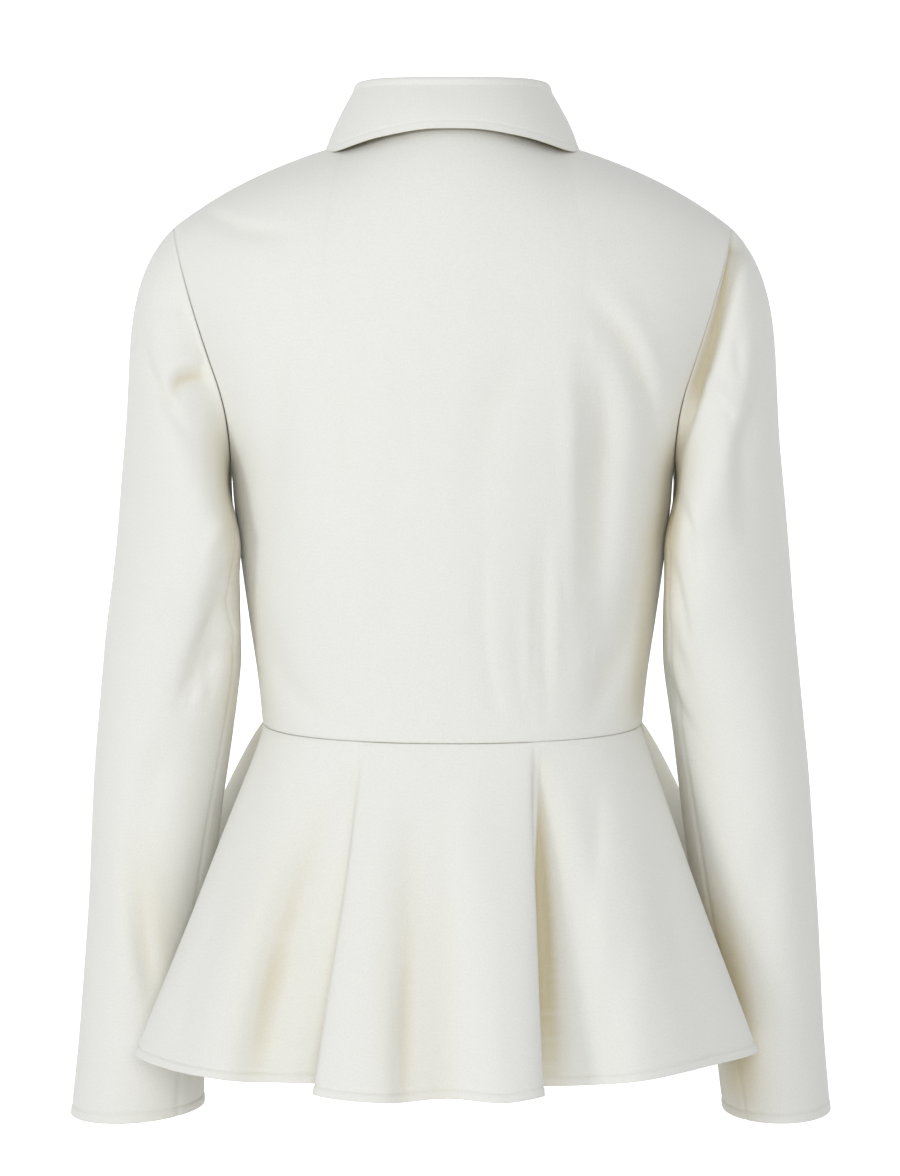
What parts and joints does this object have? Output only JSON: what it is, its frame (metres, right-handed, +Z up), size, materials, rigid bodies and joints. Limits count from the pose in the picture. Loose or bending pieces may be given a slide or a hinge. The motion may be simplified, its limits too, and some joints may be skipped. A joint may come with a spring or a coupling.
{
  "type": "long-sleeved shirt with a peplum, filled out as worn",
  "caption": "Fitted long-sleeved shirt with a turned-down collar, buttoned front and fluted peplum, filled out as if worn",
  "frame": {"origin": "midway between the two points where the shoulder seams come out from under the collar, where the shoulders carry the shirt", "axes": "+Z up, the front faces -Y, +X is the wearer's left"},
  "size_m": [0.532, 0.363, 0.7213],
  "materials": {
    "back": "matte cotton twill",
    "front_left": "matte cotton twill",
    "front_right": "matte cotton twill",
    "sleeve_left": "matte cotton twill",
    "sleeve_right": "matte cotton twill",
    "peplum_back": "matte cotton twill",
    "peplum_front_left": "matte cotton twill",
    "peplum_front_right": "matte cotton twill",
    "collar_stand": "matte cotton twill",
    "collar_fall": "matte cotton twill",
    "button_1": "satin",
    "button_2": "satin",
    "button_3": "satin",
    "button_4": "satin",
    "button_5": "satin",
    "button_6": "satin",
    "button_7": "satin",
    "button_8": "satin"
  },
  "bodies": {
    "root": {"back": "back", "front_left": "front_left", "front_right": "front_right", "sleeve_left": "sleeve_left", "sleeve_right": "sleeve_right", "peplum_back": "peplum_back", "peplum_front_left": "peplum_front_left", "peplum_front_right": "peplum_front_right", "collar_stand": "collar_stand", "collar_fall": "collar_fall", "button_1": "button_1", "button_2": "button_2", "button_3": "button_3", "button_4": "button_4", "button_5": "button_5", "button_6": "button_6", "button_7": "button_7", "button_8": "button_8"}
  },
  "joints": []
}
